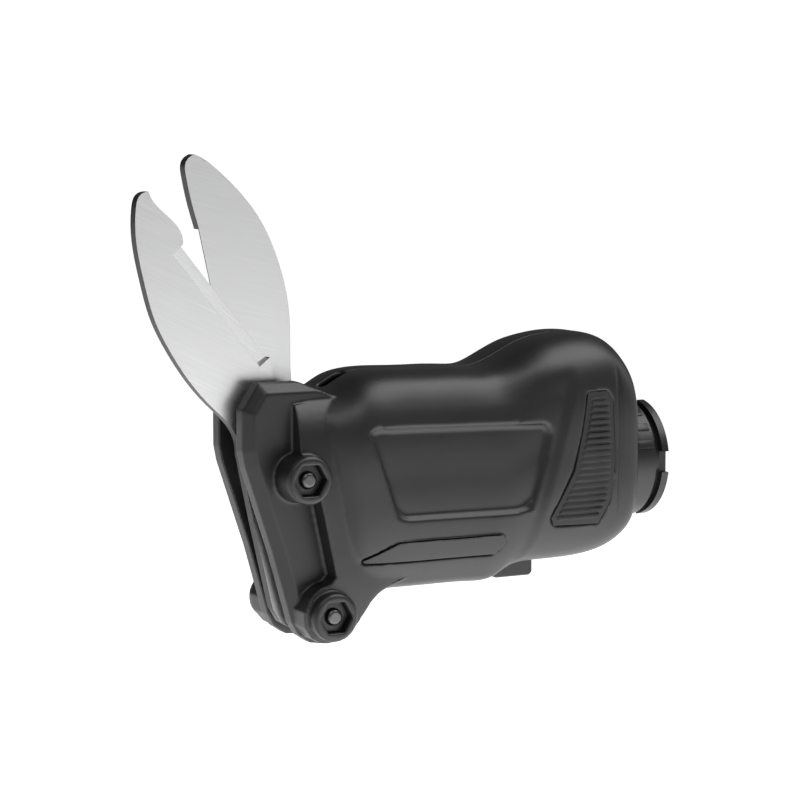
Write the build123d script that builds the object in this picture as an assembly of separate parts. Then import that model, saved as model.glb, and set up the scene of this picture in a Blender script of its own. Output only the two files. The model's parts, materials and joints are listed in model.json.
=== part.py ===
"""Powered shear head: a two-part moulded housing with two blades in its yoke.

Frame: the origin is the centre of the coupling spigot's seating face, on the drive axis.
+X points rearwards, the way the power unit leaves, and +Z points up. The blades are at -X.
The near half of the housing is on the -Y side. All sizes are in millimetres.
"""
import os
from math import atan2, cos, degrees, hypot, pi, radians, sin, tan

from build123d import *

# ---------------------------------------------------------------- overall sizes
PIVOT_TO_SEAT = 143.0        # blade pivot to the spigot's seating face
PIVOT_HEIGHT = 3.0           # blade pivot above the drive axis
BODY_WIDTH = 60.0            # across the flat sides of the housing
WALL = 2.5                   # housing wall
SECTION_POWER = 3.4          # how square the housing's cross-sections are
SECTION_POINTS = 16          # spline points round a cross-section

# ---------------------------------------------------------------- yoke
SLOT_WIDTH = 15.0            # gap between the two cheeks
CHEEK_THICKNESS = 9.0
CHEEK_CHAMFER = 3.4
FRONT_RIM = 5.0              # edges centred ahead of this, from the pivot, are chamfered
FLANK_FRONT = 25.0           # half width of the flank at its front and its rear
FLANK_REAR = 23.5
BOSS_DIAMETER = 18.0
BOSS_REACH = 12.5            # how far a boss stands out of its cheek
BOSS_CHAMFER = 1.0
BOLT_DIAMETER = 6.35
NUT_ACROSS_FLATS = 11.1
NUT_THICKNESS = 5.6
HEAD_THICKNESS = 4.3
POCKET_DEPTH = 9.0
POCKET_CLEARANCE = 0.1
BOLT_CLEARANCE = 0.1         # radial, in the housing and the sleeves
BOLT_STICKOUT = 2.2          # bolt end past its nut
LOWER_BOLT = (10.2, -51.0)   # lower bolt, from the pivot

# ---------------------------------------------------------------- blades
BLADE_THICKNESS = 4.5
BLADE_GAP = 0.1              # between the two blades' shear faces
BEVEL_LAND = 0.7             # thickness left at the cutting edge
SLEEVE_DIAMETER = 12.0       # pivot sleeve that the blades turn on
SLEEVE_CLEARANCE = 0.03      # radial running clearance on the sleeve
WASHER_DIAMETER = 22.0
SPACER_DIAMETER = 14.0
SIDE_PLAY = 0.1              # washers' axial play

# ---------------------------------------------------------------- crank and fork
FORK_REACH = 30.0            # pivot to the crank ball, along the drive axis
CRANK_THROW = 6.1
BALL_DIAMETER = 13.0
BALL_LENGTH = 8.0
CRANK_PIN_DIAMETER = 6.0
CRANK_PIN_CLEARANCE = 0.04
BALL_PLAY = 1.4              # each side of the ball in the fork
TINE_THICKNESS = 3.5
FORK_HALF_WIDTH = 8.5
FORK_ROOT = 14.5             # fork block's front face, from the pivot
FORK_BLOCK = 6.6             # length of the fork's solid block
FORK_SHOULDER = 2.2          # block above and below the blade tail
FORK_BACKING = 2.6           # block left behind the tines' roots
TINE_PAST_BALL = 3.5         # tine length past the ball's farthest place
PIN_STICKOUT = 2.2           # crank pin ahead of the ball
COLLAR_THICKNESS = 1.6
TAIL_HALF_HEIGHT = 6.0       # blade tail that the fork grips
RIVET_DIAMETER = 3.0
DISC_THICKNESS = 5.0
DISC_GAP = 8.0               # ball centre to the crank disc's face
SHAFT_DIAMETER = 12.0
BUSH_WALL = 3.0
BUSH_LENGTH = 10.0
BUSH_FLANGE = 2.0
RUNNING_CLEARANCE = 0.03
THRUST_GAP = 0.3

# ---------------------------------------------------------------- planetary stage
MODULE = 0.8
SUN_TEETH = 12
PLANET_TEETH = 18
RING_TEETH = SUN_TEETH + 2 * PLANET_TEETH
PLANETS = 3
PRESSURE_ANGLE = 25.0
ADDENDUM = 0.9               # of the module
DEDENDUM = 1.2
BACKLASH = 0.14
GEAR_WIDTH = 10.0
PLANET_PIN_DIAMETER = 4.0
PLANET_PIN_CLEARANCE = 0.04
CARRIER_THICKNESS = 4.0
RING_RIM = 2.6               # ring gear metal outside its tooth roots
CASE_WALL = 2.0
CASE_FRONT = -40.0           # gear case front face
CASE_END = 4.0               # thickness of the case's front wall and rear cover
CASE_HOLD = 2.0              # housing ribs inside the case's two ends
RIB = 3.0                    # thickness of the ribs that hold the case and the spigot

# ---------------------------------------------------------------- coupling
SPIGOT_DIAMETER = 46.0
SPIGOT_COLLAR = 9.0
SPIGOT_GROOVE_DIAMETER = 41.0
SPIGOT_GROOVE = 3.0
LUG_THICKNESS = 3.0
LUG_COUNT = 4
LUG_NOTCH = 20.0             # degrees between two lugs
NECK_DIAMETER = 32.0
FLANGE_DIAMETER = 40.0
FLANGE_THICKNESS = 5.5
SPIGOT_BORE = 25.0
SOCKET_DIAMETER = 18.0
SOCKET_ACROSS_FLATS = 10.0
SOCKET_DEPTH = 10.0
SOCKET_END = 11.0            # socket's rear face
JOURNAL_DIAMETER = 10.0
SPINDLE_DIAMETER = 8.0
SUN_BORE = 5.0

# ---------------------------------------------------------------- outside trim
RECESS_DEPTH = 1.1
INLAY_DEPTH = 1.5
PAD_DEPTH = 1.5
PAD_RIB_HEIGHT = 0.8
PAD_RIB_PITCH = 2.4
PAD_RIB_WIDTH = 1.3
PAD_BORDER = 2.2
TRIM_CLEARANCE = 0.15

# ---------------------------------------------------------------- lock button
BUTTON_CENTRE = -45.4
BUTTON_LENGTH = 17.6
BUTTON_HALF_WIDTH = 6.0
BUTTON_FACE = -43.0          # button's lower face, from the drive axis
BUTTON_TRAVEL = 3.0
BUTTON_CLEARANCE = 0.35
BUTTON_LIP = 2.2
LIP_THICKNESS = 1.6
SPRING_DIAMETER = 6.0
SPRING_WIRE = 0.7
SPRING_TURNS = 3
SEAT_MARGIN = 3.0
SEAT_THICKNESS = 1.5

# ---------------------------------------------------------------- housing screws
SCREW_DIAMETER = 3.0
SCREW_HEAD_DIAMETER = 6.0
SCREW_HEAD_HEIGHT = 2.4
SCREW_BOSS_DIAMETER = 7.6
SCREW_DEPTH = 12.0           # thread length in the near half
SCREW_SEAT = 8.0             # head seat, from the parting plane

# Housing cross-sections: top point, bottom point, and how far each side is tucked in.
FRONT_STATIONS = [           # x and z from the pivot
    ((2.5, 26.5), (16.5, -40.6), 10.5),
    ((7.0, 28.3), (20.0, -42.6), 6.4),
    ((12.0, 29.6), (24.0, -44.1), 3.4),
    ((18.0, 31.6), (30.0, -45.0), 1.4),
    ((24.0, 34.9), (36.0, -45.3), 0.4),
    ((31.0, 36.8), (42.0, -45.3), 0.0),
    ((52.0, 37.0), (56.0, -45.3), 0.0),
]
REAR_STATIONS = [            # x and z from the seat's centre
    ((-72.0, 39.7), (-70.0, -42.4), 0.0),
    ((-60.0, 39.9), (-61.0, -42.0), 0.0),
    ((-51.0, 43.4), (-56.0, -39.2), 0.0),
    ((-42.5, 47.4), (-49.0, -37.0), 0.0),
    ((-33.0, 50.0), (-36.0, -36.4), 0.0),
    ((-20.0, 51.2), (-20.0, -35.7), 0.6),
    ((-9.5, 48.6), (-9.5, -33.4), 2.0),
    ((-3.6, 43.2), (-3.6, -30.2), 3.4),
    ((-0.9, 38.9), (-0.9, -27.6), 4.8),
    ((0.0, 35.6), (0.0, -25.4), 6.2),
]

# Outlines seen from the side, from the pivot unless they say otherwise.
CHEEK_OUTLINE = [
    (-20.0, 25.0), (-13.8, 34.6), (2.5, 34.6), (14.0, 29.6), (34.0, 24.0), (48.0, -20.0),
    (48.0, -40.0), (36.0, -42.4), (31.2, -44.9), (27.9, -48.3), (25.0, -52.6), (22.4, -56.8),
    (18.4, -60.8), (13.0, -62.9), (7.2, -62.6), (2.4, -59.4), (-0.4, -54.5), (-7.9, -28.4),
    (-18.8, 4.0), (-20.0, 10.0),
]
FLANK_OUTLINE = [            # raised side that runs from the housing down to the lower boss
    (-1.5, 26.5), (-1.5, 4.0), (4.0, 0.0), (7.3, -13.4), (12.4, -36.8), (10.2, -39.2),
    (5.6, -40.6), (2.2, -43.4), (-0.6, -49.0), (0.4, -55.0), (3.8, -59.4), (8.4, -61.8),
    (13.4, -61.9), (17.8, -60.0), (21.6, -56.2), (24.3, -52.2), (27.3, -47.8), (31.0, -44.3),
    (36.0, -41.8), (44.0, -39.0), (44.0, 30.0), (20.0, 30.0),
    (14.0, 29.0),
]
SLOT_OUTLINE = [
    (-30.0, 50.0), (9.5, 50.0), (9.5, -16.0), (23.0, -40.0), (23.0, -45.0), (34.0, -56.0),
    (34.0, -80.0), (-30.0, -80.0),
]
FORK_ROOM = (8.5, 50.0, -26.0, 20.0, 12.5)   # x from, x to, z from, z to, half width
PORT = (17.6, 28.4, 3.2)                     # x from, x to, half width
RECESS_OUTLINE = [
    (24.5, 15.5), (27.5, 17.5), (98.5, 15.8), (101.5, 12.0), (99.8, 3.0), (94.0, -13.0),
    (87.5, -17.6), (40.0, -17.0), (35.5, -13.0),
]
INLAY_OUTLINE = [
    (22.0, -31.5), (36.0, -25.2), (81.0, -25.2), (82.5, -28.5), (77.5, -33.2), (23.0, -33.2),
]
PAD_OUTLINE = [              # x and z from the seat's centre
    (-26.0, 29.6), (-16.5, 29.8), (-14.2, 26.0), (-13.2, 7.0), (-15.0, -12.5), (-19.8, -21.5),
    (-40.5, -20.8), (-42.0, -17.5), (-32.5, 0.0), (-28.8, 14.0),
]
SCREW_PLACES = [             # x and z from the seat's centre
    (-99.0, 27.0), (-97.0, -33.0), (-66.0, 27.0), (-68.0, -33.0), (-20.0, 37.0), (-22.0, -30.4),
]

# Blade outlines, from the pivot, with the blades open.
FIXED_BACK = [
    (-52.2, 104.4), (-55.8, 102.8), (-57.2, 98.0), (-57.0, 85.5), (-54.2, 71.8), (-50.2, 58.1),
    (-44.5, 47.0), (-37.6, 36.6), (-28.0, 25.8), (-20.8, 18.6), (-17.2, 8.0),
]
FIXED_TAIL = [
    (-17.2, 8.0), (-11.8, -17.0), (-6.0, -42.0), (-4.2, -50.0), (-0.8, -55.6), (6.0, -59.4),
    (14.0, -60.0), (20.0, -56.0), (20.5, -42.0), (9.0, -12.0), (8.5, 14.0), (-3.4, 36.0),
    (-4.8, 43.2),
]
FIXED_EDGE = ((-4.8, 43.2), (-39.0, 85.2))
FIXED_POINT = [(-39.0, 85.2), (-39.5, 89.0), (-45.0, 95.6), (-52.2, 104.4)]
FIXED_BEVEL = 5.4            # width of the ground bevel
MOVING_BACK = [
    (-32.6, 117.4), (-29.4, 116.1), (-23.4, 111.8), (-17.2, 106.3), (-11.2, 100.0), (-5.8, 92.6),
    (-1.4, 84.1), (1.8, 75.6), (4.1, 67.0), (5.6, 55.0), (5.8, 38.0), (8.0, 20.0), (11.4, 3.7),
]
MOVING_HEEL = [(11.4, 3.7), (3.0, -11.6), (-8.6, -8.4), (-12.0, 3.0), (-15.6, 22.0)]
MOVING_EDGE = ((-15.6, 22.0), (-30.8, 90.3))
MOVING_POINT = [(-30.8, 90.3), (-33.3, 98.6), (-35.7, 109.0), (-36.0, 114.0), (-32.6, 117.4)]
MOVING_BEVEL = 5.0

# ---------------------------------------------------------------- sizes that follow
PIVOT_X = -PIVOT_TO_SEAT
CHEEK_INNER = SLOT_WIDTH / 2
CHEEK_OUTER = CHEEK_INNER + CHEEK_THICKNESS
BOSS_FACE = CHEEK_OUTER + BOSS_REACH
BALL_X = PIVOT_X + FORK_REACH
DISC_FRONT = BALL_X + DISC_GAP
DISC_REAR = DISC_FRONT + DISC_THICKNESS
BUSH_FRONT = DISC_REAR + THRUST_GAP
FRONT_BULKHEAD = BUSH_FRONT + BUSH_FLANGE
OPEN_ANGLE = degrees(atan2(-PIVOT_HEIGHT - CRANK_THROW, FORK_REACH))
CLOSED_ANGLE = degrees(atan2(-PIVOT_HEIGHT + CRANK_THROW, FORK_REACH))
BLADE_SWEEP = CLOSED_ANGLE - OPEN_ANGLE
GEAR_CENTRES = MODULE * (SUN_TEETH + PLANET_TEETH) / 2
RING_ROOT = MODULE * (RING_TEETH / 2 + DEDENDUM)
RING_RADIUS = RING_ROOT + RING_RIM
CASE_RADIUS = RING_RADIUS + CASE_WALL
CARRIER_FRONT = CASE_FRONT + CASE_END + THRUST_GAP
GEAR_FRONT = CARRIER_FRONT + CARRIER_THICKNESS + THRUST_GAP
GEAR_REAR = GEAR_FRONT + GEAR_WIDTH
COVER_FRONT = GEAR_REAR + 2 * THRUST_GAP
CASE_REAR = COVER_FRONT + CASE_END
SPIGOT_END = SPIGOT_COLLAR + SPIGOT_GROOVE + LUG_THICKNESS
REAR_BUSH_REAR = -WALL
REAR_BUSH_FRONT = REAR_BUSH_REAR - FLANGE_THICKNESS
FAR = 100.0                  # longer than anything it cuts


# ---------------------------------------------------------------- helpers
def from_pivot(point):
    """Side-view point given from the pivot, in the part's frame."""
    return (PIVOT_X + point[0], PIVOT_HEIGHT + point[1])


def prism(points, y_from, y_to):
    """Side-view polygon in the part's frame, extruded across from y_from to y_to."""
    line = Polyline(*[(x, y_from, z) for x, z in points], close=True)
    return extrude(make_face(line), amount=y_to - y_from, dir=(0, 1, 0))


def block(x, y, z):
    """Box between two x, two y and two z values."""
    centre = ((x[0] + x[1]) / 2, (y[0] + y[1]) / 2, (z[0] + z[1]) / 2)
    return Pos(*centre) * Box(x[1] - x[0], y[1] - y[0], z[1] - z[0])


def rod_x(radius, x_from, x_to, y=0.0, z=0.0):
    """Cylinder along X."""
    centre = ((x_from + x_to) / 2, y, z)
    return Pos(*centre) * Rotation(0, 90, 0) * Cylinder(radius, x_to - x_from)


def rod_y(radius, y_from, y_to, x=PIVOT_X, z=PIVOT_HEIGHT):
    """Cylinder along Y, on the pivot unless a place is given."""
    centre = (x, (y_from + y_to) / 2, z)
    return Pos(*centre) * Rotation(90, 0, 0) * Cylinder(radius, y_to - y_from)


def tube_y(outer, inner, y_from, y_to, x=PIVOT_X, z=PIVOT_HEIGHT):
    """Sleeve along Y."""
    return rod_y(outer, y_from, y_to, x, z) - rod_y(inner, y_from, y_to, x, z)


def hex_y(across_flats, y_from, y_to, x, z):
    """Hexagonal bar along Y with a flat on top."""
    outline = RegularPolygon(across_flats / 2, 6, major_radius=False, rotation=0)
    placed = Pos(x, y_from, z) * Rotation(-90, 0, 0) * outline
    return extrude(placed, amount=y_to - y_from, dir=(0, 1, 0))


def both_sides(shape):
    """A shape and its mirror image across the parting plane."""
    return shape + mirror(shape, Plane.XZ)


def lower_bolt_place():
    """Centre of the lower bolt in side view."""
    return from_pivot(LOWER_BOLT)


# ---------------------------------------------------------------- housing
def stations():
    """Every cross-section as top point, bottom point and tuck, in the part's frame."""
    front = [(from_pivot(top), from_pivot(bottom), tuck) for top, bottom, tuck in FRONT_STATIONS]
    return front + REAR_STATIONS


def section(top, bottom, half_width, inset):
    """Closed rounded cross-section through a top and a bottom point, shrunk by inset."""
    half_height = hypot(top[0] - bottom[0], top[1] - bottom[1]) / 2 - inset
    centre = ((top[0] + bottom[0]) / 2, (top[1] + bottom[1]) / 2)
    lean = atan2(top[0] - bottom[0], top[1] - bottom[1])
    power = 2 / SECTION_POWER
    points = []
    for step in range(SECTION_POINTS):
        angle = 2 * pi * step / SECTION_POINTS
        across = abs(cos(angle)) ** power * (1 if cos(angle) >= 0 else -1)
        up = abs(sin(angle)) ** power * (1 if sin(angle) >= 0 else -1)
        height = half_height * up
        points.append((centre[0] + height * sin(lean), (half_width - inset) * across,
                       centre[1] + height * cos(lean)))
    return make_face(Spline(*points, periodic=True))


def body(inset, first=0, last=None):
    """Housing form through the stations, shrunk by inset or grown by a negative one."""
    chosen = stations()[first:last]
    half = BODY_WIDTH / 2
    return loft([section(top, bottom, half - tuck, inset) for top, bottom, tuck in chosen])


def skin_cut(points, depth, clearance=0.0):
    """What a shallow pocket of this outline removes from both sides of the housing."""
    outline = prism(points, CHEEK_OUTER, FAR)
    if clearance:
        outline = offset_prism(points, clearance)
    return both_sides(outline - body(depth))


def offset_prism(points, distance):
    """Prism outside the cheek with its outline moved outwards, or inwards if negative."""
    line = Polyline(*[(x, z) for x, z in points], close=True)
    flat = offset(make_face(line), distance, kind=Kind.INTERSECTION)
    placed = Plane.XZ * flat
    return extrude(placed, amount=FAR, dir=(0, 1, 0)) & block((-FAR * 4, FAR), (CHEEK_OUTER, FAR), (-FAR, FAR))


def yoke_plates():
    """Both cheeks as one slab with its front edges chamfered."""
    slab = prism([from_pivot(p) for p in CHEEK_OUTLINE], -CHEEK_OUTER, CHEEK_OUTER)
    front_limit = PIVOT_X + FRONT_RIM
    rims = [edge for edge in slab.edges()
            if abs(abs(edge.center().Y) - CHEEK_OUTER) < 0.01 and edge.center().X < front_limit]
    return chamfer(rims, CHEEK_CHAMFER)


def flank():
    """Raised sides behind the yoke's pocket, rounded off at the top as the housing is."""
    sections = [
        section(from_pivot((-3.0, 32.0)), from_pivot((-3.0, -72.0)), FLANK_FRONT, 0),
        section(from_pivot((46.0, 34.0)), from_pivot((46.0, -72.0)), FLANK_REAR, 0),
    ]
    return loft(sections) & prism([from_pivot(p) for p in FLANK_OUTLINE], -FAR, FAR)


def bosses():
    """The four bolt bosses."""
    made = None
    for x, z in (from_pivot((0, 0)), lower_bolt_place()):
        boss = rod_y(BOSS_DIAMETER / 2, CHEEK_INNER + 1.0, BOSS_FACE, x, z)
        outer = boss.edges().group_by(Axis.Y)[-1]
        boss = both_sides(chamfer(outer, BOSS_CHAMFER))
        made = boss if made is None else made + boss
    return made


def bolt_holes():
    """Bolt holes and hexagonal pockets through the yoke."""
    radius = BOLT_DIAMETER / 2 + BOLT_CLEARANCE
    flats = NUT_ACROSS_FLATS + 2 * POCKET_CLEARANCE
    cut = None
    for x, z in (from_pivot((0, 0)), lower_bolt_place()):
        hole = rod_y(radius, -BOSS_FACE - 1, BOSS_FACE + 1, x, z)
        hole += both_sides(hex_y(flats, BOSS_FACE - POCKET_DEPTH, BOSS_FACE + 1, x, z))
        cut = hole if cut is None else cut + hole
    return cut


def bulkheads(inner):
    """Walls across the cavity that carry the bushes, the gear case and the spigot."""
    walls = [
        (FRONT_BULKHEAD, BUSH_LENGTH, SHAFT_DIAMETER / 2 + BUSH_WALL),
        (CASE_FRONT + CASE_HOLD, RIB, CASE_RADIUS),
        (CASE_REAR - CASE_HOLD - RIB, RIB, CASE_RADIUS),
        (REAR_BUSH_FRONT - RIB, RIB, JOURNAL_DIAMETER / 2 + BUSH_WALL),
    ]
    made = None
    for x_from, thickness, bore in walls:
        slab = block((x_from, x_from + thickness), (-FAR, FAR), (-FAR, FAR)) & inner
        slab -= rod_x(bore, x_from - 1, x_from + thickness + 1)
        made = slab if made is None else made + slab
    return made


def screw_bosses(inner):
    """Posts across the cavity for the housing screws."""
    posts = None
    for x, z in SCREW_PLACES:
        post = rod_y(SCREW_BOSS_DIAMETER / 2, -BODY_WIDTH / 2, BODY_WIDTH / 2, x, z)
        posts = post if posts is None else posts + post
    return posts & inner


def screw_holes():
    """Thread holes in the near half and counterbores in the far half."""
    cut = None
    for x, z in SCREW_PLACES:
        hole = rod_y(SCREW_DIAMETER / 2, -SCREW_DEPTH - 1, SCREW_SEAT, x, z)
        hole += rod_y(SCREW_HEAD_DIAMETER / 2 + 0.2, SCREW_SEAT, FAR, x, z)
        cut = hole if cut is None else cut + hole
    return cut


def lip_floor():
    """Height of the lock button's lip above the housing's inside."""
    return REAR_STATIONS[4][1][1] + WALL + BUTTON_CLEARANCE


def button_place(grow=0.0):
    """X range of the lock button, grown at both ends."""
    half = BUTTON_LENGTH / 2 + grow
    return (BUTTON_CENTRE - half, BUTTON_CENTRE + half)


def housing_halves():
    """Near and far half of the housing."""
    outer = body(0)
    inner = body(WALL, first=3, last=-1) & block((-FAR * 4, -WALL), (-FAR, FAR), (-FAR, FAR))
    x0, x1, z0, z1, half = FORK_ROOM
    room = block((PIVOT_X + x0, PIVOT_X + x1), (-half, half),
                 (PIVOT_HEIGHT + z0, PIVOT_HEIGHT + z1))
    solid = outer + yoke_plates() + flank() + bosses()
    solid -= inner - bulkheads(inner) - screw_bosses(inner)
    solid -= room - block((FRONT_BULKHEAD, 0), (-FAR, FAR), (-FAR, FAR))
    solid -= prism([from_pivot(p) for p in SLOT_OUTLINE], -CHEEK_INNER, CHEEK_INNER)
    solid -= bolt_holes()
    solid -= screw_holes()
    solid -= skin_cut([from_pivot(p) for p in RECESS_OUTLINE], RECESS_DEPTH)
    solid -= skin_cut([from_pivot(p) for p in INLAY_OUTLINE], INLAY_DEPTH)
    solid -= skin_cut(PAD_OUTLINE, PAD_DEPTH)
    solid -= rod_x(NECK_DIAMETER / 2, -WALL - 1, 1)
    solid -= block((PIVOT_X + PORT[0], PIVOT_X + PORT[1]), (-PORT[2], PORT[2]), (20, 60))
    grow = BUTTON_CLEARANCE
    side = BUTTON_HALF_WIDTH + BUTTON_CLEARANCE
    solid -= block(button_place(grow), (-side, side), (BUTTON_FACE - 2, BUTTON_FACE + 12))
    lip_side = BUTTON_HALF_WIDTH + BUTTON_LIP + BUTTON_CLEARANCE
    solid -= block(button_place(BUTTON_LIP + grow), (-lip_side, lip_side),
                   (lip_floor() - grow / 2, lip_floor() + LIP_THICKNESS + BUTTON_TRAVEL + grow))
    near = solid & block((-FAR * 4, FAR), (-FAR, 0), (-FAR * 2, FAR * 2))
    far = solid & block((-FAR * 4, FAR), (0, FAR), (-FAR * 2, FAR * 2))
    return near, far


# ---------------------------------------------------------------- trim
def side_inlay():
    """Near side inlay strip, flush with the skin."""
    strip = offset_prism([from_pivot(p) for p in INLAY_OUTLINE], -TRIM_CLEARANCE)
    return mirror((strip & body(0)) - body(INLAY_DEPTH), Plane.XZ)


def tuck_at(x):
    """How far the rear stations tuck each side in at this x, by straight lines."""
    places = [(top[0], tuck) for top, _, tuck in REAR_STATIONS]
    for (x_low, tuck_low), (x_high, tuck_high) in zip(places, places[1:]):
        if x_low <= x <= x_high:
            return tuck_low + (tuck_high - tuck_low) * (x - x_low) / (x_high - x_low)
    return 0.0


def side_at(x, z):
    """Half width of the housing over the grip pad."""
    top, bottom, _ = REAR_STATIONS[4]
    middle, half_height = (top[1] + bottom[1]) / 2, (top[1] - bottom[1]) / 2
    share = 1 - abs((z - middle) / half_height) ** SECTION_POWER
    return (BODY_WIDTH / 2 - tuck_at(x)) * share ** (1 / SECTION_POWER)


def pad_rib(z):
    """One rib across the pad, following the housing's side."""
    places = [min(x for x, _ in PAD_OUTLINE), REAR_STATIONS[5][0][0], max(x for x, _ in PAD_OUTLINE)]
    low = z - PAD_RIB_WIDTH / 2
    outer = [(x, side_at(x, z) + PAD_RIB_HEIGHT, low) for x in places]
    inner = [(x, side_at(x, z) - PAD_DEPTH / 2, low) for x in reversed(places)]
    outline = make_face(Polyline(*outer, *inner, close=True))
    return extrude(outline, amount=PAD_RIB_WIDTH, dir=(0, 0, 1))


def grip_pad():
    """Near grip pad: a plate with a stack of ribs inside a plain border."""
    plate = offset_prism(PAD_OUTLINE, -TRIM_CLEARANCE)
    window = offset_prism(PAD_OUTLINE, -TRIM_CLEARANCE - PAD_BORDER)
    low = min(z for _, z in PAD_OUTLINE)
    high = max(z for _, z in PAD_OUTLINE)
    count = int((high - low) / PAD_RIB_PITCH)
    ribs = None
    for index in range(count):
        rib = pad_rib(low + (index + 0.5) * PAD_RIB_PITCH)
        ribs = rib if ribs is None else ribs + rib
    pad = (plate & body(0)) - body(PAD_DEPTH)
    return mirror(pad + (window & ribs), Plane.XZ)


# ---------------------------------------------------------------- blades
def ground_bevel(edge, width, side):
    """Wedge that grinds one face down to a thin land along a cutting edge."""
    start, end = (from_pivot(point) for point in edge)
    length = hypot(end[0] - start[0], end[1] - start[1])
    along = ((end[0] - start[0]) / length, (end[1] - start[1]) / length)
    inward = (-along[1] * side, along[0] * side)
    deep = BLADE_THICKNESS - BEVEL_LAND
    face_y = -side * BLADE_THICKNESS
    root = (start[0], start[1])

    def corner(out, y):
        return (root[0] + inward[0] * out, y, root[1] + inward[1] * out)

    past = 2.0
    rise = deep / width
    outline = Polyline(corner(width, face_y), corner(-past, face_y + side * (deep + rise * past)),
                       corner(-past, face_y - side), corner(width, face_y - side), close=True)
    return extrude(make_face(outline), amount=length, dir=(along[0], 0, along[1]))


def blade_plate(back, edge, point, heel, y_from, y_to):
    """Flat blade blank from its curved back, cutting edge, point and heel."""
    def lift(points):
        return [(x, y_from, z) for x, z in (from_pivot(p) for p in points)]

    lines = [Spline(*lift(back)), Spline(*lift(point)), Line(*lift(edge)), Polyline(*lift(heel))]
    return extrude(make_face(lines), amount=y_to - y_from, dir=(0, 1, 0))


def fixed_blade():
    """Fixed blade, clamped by both bolts."""
    blank = blade_plate(FIXED_BACK, FIXED_EDGE, FIXED_POINT, FIXED_TAIL,
                        -BLADE_THICKNESS, -BLADE_GAP / 2)
    blank -= ground_bevel(FIXED_EDGE, FIXED_BEVEL, 1)
    blank -= rod_y(SLEEVE_DIAMETER / 2, -FAR, FAR)
    x, z = lower_bolt_place()
    return blank - rod_y(BOLT_DIAMETER / 2 + BOLT_CLEARANCE, -FAR, FAR, x, z)


def fork_frame():
    """Placement of the fork: on the pivot, leaning as it does with the blades open."""
    return Pos(PIVOT_X, 0, PIVOT_HEIGHT) * Rotation(0, -OPEN_ANGLE, 0)


def rivet_places():
    """Fork rivets, from the pivot in the fork's own frame."""
    x = FORK_ROOT + FORK_BLOCK / 2
    return [(x, TAIL_HALF_HEIGHT / 2), (x, -TAIL_HALF_HEIGHT / 2)]


def moving_blade():
    """Moving blade with the tail that carries the fork."""
    blank = blade_plate(MOVING_BACK, MOVING_EDGE, MOVING_POINT, MOVING_HEEL,
                        BLADE_GAP / 2, BLADE_THICKNESS)
    blank -= ground_bevel(MOVING_EDGE, MOVING_BEVEL, -1)
    tail = block((0, FORK_ROOT + FORK_BLOCK - 1.0), (BLADE_GAP / 2, BLADE_THICKNESS),
                 (-TAIL_HALF_HEIGHT, TAIL_HALF_HEIGHT))
    for x, z in rivet_places():
        tail -= rod_y(RIVET_DIAMETER / 2, -FAR, FAR, x, z)
    blank += fork_frame() * tail
    return blank - rod_y(SLEEVE_DIAMETER / 2 + SLEEVE_CLEARANCE, -FAR, FAR)


def drive_fork():
    """Fork on the moving blade's tail, with the crank ball between its tines."""
    gap = BALL_DIAMETER / 2 + BALL_PLAY
    outer = gap + TINE_THICKNESS
    block_end = FORK_ROOT + FORK_BLOCK
    tip = hypot(FORK_REACH, PIVOT_HEIGHT + CRANK_THROW) + TINE_PAST_BALL
    width = (-FORK_HALF_WIDTH, FORK_HALF_WIDTH)
    shoulder = TAIL_HALF_HEIGHT + FORK_SHOULDER
    fork = block((block_end - FORK_BACKING, tip), width, (-outer, outer))
    fork += block((FORK_ROOT, block_end), width, (-shoulder, shoulder))
    fork -= block((block_end, FAR), (-FAR, FAR), (-gap, gap))
    fork -= block((0, block_end - 0.9), (0, BLADE_THICKNESS + 0.05),
                  (-TAIL_HALF_HEIGHT - 0.05, TAIL_HALF_HEIGHT + 0.05))
    for x, z in rivet_places():
        fork -= rod_y(RIVET_DIAMETER / 2, -FAR, FAR, x, z)
    return fork_frame() * fork


def fork_rivets():
    """Two rivets through the fork and the blade tail."""
    half = FORK_HALF_WIDTH
    made = [rod_y(RIVET_DIAMETER / 2, -half, half, x, z) for x, z in rivet_places()]
    return fork_frame() * (made[0] + made[1])


# ---------------------------------------------------------------- yoke hardware
def yoke_bolt(x, z):
    """Hexagon bolt with its head in the far pocket and a domed end on the near side."""
    head_seat = BOSS_FACE - POCKET_DEPTH
    end = -(head_seat + NUT_THICKNESS + BOLT_STICKOUT)
    bolt = rod_y(BOLT_DIAMETER / 2, end, head_seat, x, z)
    bolt = fillet(bolt.edges().group_by(Axis.Y)[0], BOLT_DIAMETER / 4)
    return bolt + hex_y(NUT_ACROSS_FLATS, head_seat, head_seat + HEAD_THICKNESS, x, z)


def yoke_nut(x, z):
    """Hexagon nut in the near pocket."""
    seat = -(BOSS_FACE - POCKET_DEPTH)
    nut = hex_y(NUT_ACROSS_FLATS, seat - NUT_THICKNESS, seat, x, z)
    return nut - rod_y(BOLT_DIAMETER / 2, seat - NUT_THICKNESS - 1, seat + 1, x, z)


def pivot_sleeve():
    """Hardened sleeve between the cheeks that the blades turn on."""
    bore = BOLT_DIAMETER / 2 + BOLT_CLEARANCE
    return tube_y(SLEEVE_DIAMETER / 2, bore, -CHEEK_INNER, CHEEK_INNER)


def pivot_washers():
    """Near and far thrust washers beside the blades, on the pivot sleeve."""
    bore = SLEEVE_DIAMETER / 2 + BOLT_CLEARANCE
    near = tube_y(WASHER_DIAMETER / 2, bore, -CHEEK_INNER, -BLADE_THICKNESS)
    far = tube_y(WASHER_DIAMETER / 2, bore, BLADE_THICKNESS + SIDE_PLAY, CHEEK_INNER)
    return near, far


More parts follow.
